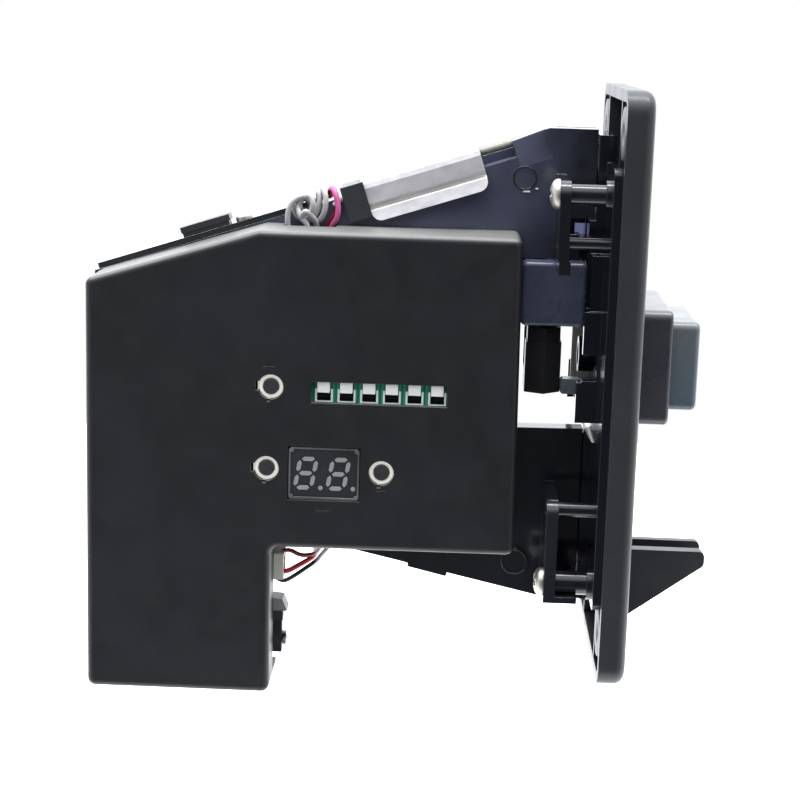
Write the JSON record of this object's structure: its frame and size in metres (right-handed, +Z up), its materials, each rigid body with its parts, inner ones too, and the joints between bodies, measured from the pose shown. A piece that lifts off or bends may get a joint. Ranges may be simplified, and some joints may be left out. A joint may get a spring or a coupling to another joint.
{
  "type": "multi-coin acceptor",
  "caption": "Side-mounted coin acceptor with hollow front plate, reject button, return scoop, sloped coin channel with hinged gate and an electronics cover.",
  "frame": {"origin": "midpoint of the four threaded inserts, in the plane of the front plate's rear rim, which lies against the cabinet door", "axes": "+Z up, -Y out of the front plate towards the user, +Y rearwards into the cabinet, +X across the plate away from the electronics cover"},
  "size_m": [0.065, 0.1399, 0.1352],
  "materials": {
    "plate_plastic": "fine satin moulded plastic",
    "cover_plastic": "fine matt texture",
    "mechanism_plastic": "glossy moulded plastic",
    "inlet_plastic": "glossy navy plastic",
    "button_plastic": "translucent blue-grey",
    "zinc": "zinc plated",
    "steel": "brushed",
    "ivory_plastic": "satin",
    "white_plastic": "satin",
    "black_plastic": "satin",
    "circuit_board": "green solder mask",
    "display_grey": "smoked face",
    "digit_grey": "unlit segments",
    "copper": "enamelled winding",
    "grey_wire": "soft jacket",
    "pink_wire": "soft jacket",
    "red_wire": "soft jacket",
    "dark_red_wire": "soft jacket",
    "black_wire": "soft jacket"
  },
  "bodies": {
    "frame": {"front_plate": "plate_plastic", "corner_inserts": "zinc", "button_frame": "plate_plastic", "button_spring": "steel", "return_scoop": "plate_plastic", "sub_plate": "mechanism_plastic", "slot_guide_strip": "ivory_plastic", "fixing_screws": "zinc", "main_frame": "mechanism_plastic", "throat_wall": "mechanism_plastic", "inlet_guide": "inlet_plastic", "runway_rail": "steel", "sensor_coil": "black_plastic", "hinge_bracket": "steel", "hinge_pin": "steel", "gate_spring": "steel", "top_lid": "mechanism_plastic", "lid_clip": "black_plastic", "lid_screw": "zinc", "wire_guide": "black_plastic", "coil_wire_grey": "grey_wire", "coil_wire_pink": "pink_wire", "chute_near": "mechanism_plastic", "chute_far": "mechanism_plastic", "chute_floor": "mechanism_plastic", "leg_chute": "mechanism_plastic", "solenoid_frame": "steel", "solenoid_coil": "copper", "side_cover": "cover_plastic", "main_pcb": "circuit_board", "display_body": "display_grey", "display_digits": "digit_grey", "tact_bodies": "black_plastic", "tact_plates": "zinc", "switch_bodies": "black_plastic", "controller_chip": "black_plastic", "io_board": "circuit_board", "wire_connector": "ivory_plastic", "terminal_block": "black_plastic", "red_wire": "red_wire", "dark_red_wire": "dark_red_wire", "black_wire": "black_wire"},
    "button": {"return_button": "button_plastic"},
    "gate": {"gate_plate": "mechanism_plastic", "gate_cam": "black_plastic", "gate_coil": "black_plastic"},
    "diverter": {"diverter_flap": "black_plastic"},
    "plunger": {"solenoid_plunger": "steel"},
    "set_key": {"set_button": "black_plastic"},
    "plus_key": {"plus_button": "black_plastic"},
    "minus_key": {"minus_button": "black_plastic"},
    "slide_switch_1": {"slide_1": "white_plastic"},
    "slide_switch_2": {"slide_2": "white_plastic"},
    "slide_switch_3": {"slide_3": "white_plastic"},
    "slide_switch_4": {"slide_4": "white_plastic"},
    "slide_switch_5": {"slide_5": "white_plastic"},
    "slide_switch_6": {"slide_6": "white_plastic"}
  },
  "joints": [
    {"name": "button_press", "type": "slide", "parent": "frame", "child": "button", "axis": [0, 1, 0], "range_m": [0, 0.006], "stiffness_N_per_m": 400, "springref_m": -0.002, "deforming": ["button_spring"]},
    {"name": "gate_swing", "type": "hinge", "parent": "frame", "child": "gate", "pos_m": [0.002, 0.04017, 0.04442], "axis": [0, -0.9504, 0.3112], "range_deg": [0, 6.6], "stiffness_Nm_per_rad": 0.08, "springref_deg": -2.86, "deforming": ["gate_spring"]},
    {"name": "diverter_swing", "type": "hinge", "parent": "frame", "child": "diverter", "pos_m": [0, 0.0796, -0.0376], "axis": [1, 0, 0], "range_deg": [0, 50.5]},
    {"name": "plunger_pull", "type": "slide", "parent": "frame", "child": "plunger", "axis": [0, -1, 0], "range_m": [0, 0.00507], "stiffness_N_per_m": 120, "springref_m": -0.002},
    {"name": "set_press", "type": "slide", "parent": "frame", "child": "set_key", "axis": [1, 0, 0], "range_m": [0, 0.0003], "stiffness_N_per_m": 900, "springref_m": -0.0003},
    {"name": "plus_press", "type": "slide", "parent": "frame", "child": "plus_key", "axis": [1, 0, 0], "range_m": [0, 0.0003], "stiffness_N_per_m": 900, "springref_m": -0.0003},
    {"name": "minus_press", "type": "slide", "parent": "frame", "child": "minus_key", "axis": [1, 0, 0], "range_m": [0, 0.0003], "stiffness_N_per_m": 900, "springref_m": -0.0003},
    {"name": "slide_1_travel", "type": "slide", "parent": "frame", "child": "slide_switch_1", "axis": [0, 0, -1], "range_m": [0, 0.002]},
    {"name": "slide_2_travel", "type": "slide", "parent": "frame", "child": "slide_switch_2", "axis": [0, 0, -1], "range_m": [0, 0.002]},
    {"name": "slide_3_travel", "type": "slide", "parent": "frame", "child": "slide_switch_3", "axis": [0, 0, -1], "range_m": [0, 0.002]},
    {"name": "slide_4_travel", "type": "slide", "parent": "frame", "child": "slide_switch_4", "axis": [0, 0, -1], "range_m": [0, 0.002]},
    {"name": "slide_5_travel", "type": "slide", "parent": "frame", "child": "slide_switch_5", "axis": [0, 0, -1], "range_m": [0, 0.002]},
    {"name": "slide_6_travel", "type": "slide", "parent": "frame", "child": "slide_switch_6", "axis": [0, 0, -1], "range_m": [0, 0.002]}
  ],
  "couplings": [
    {"joint": "gate_swing", "follows": "button_press", "rad_per_m": 17.453},
    {"joint": "diverter_swing", "follows": "plunger_pull", "rad_per_m": 172.08}
  ]
}
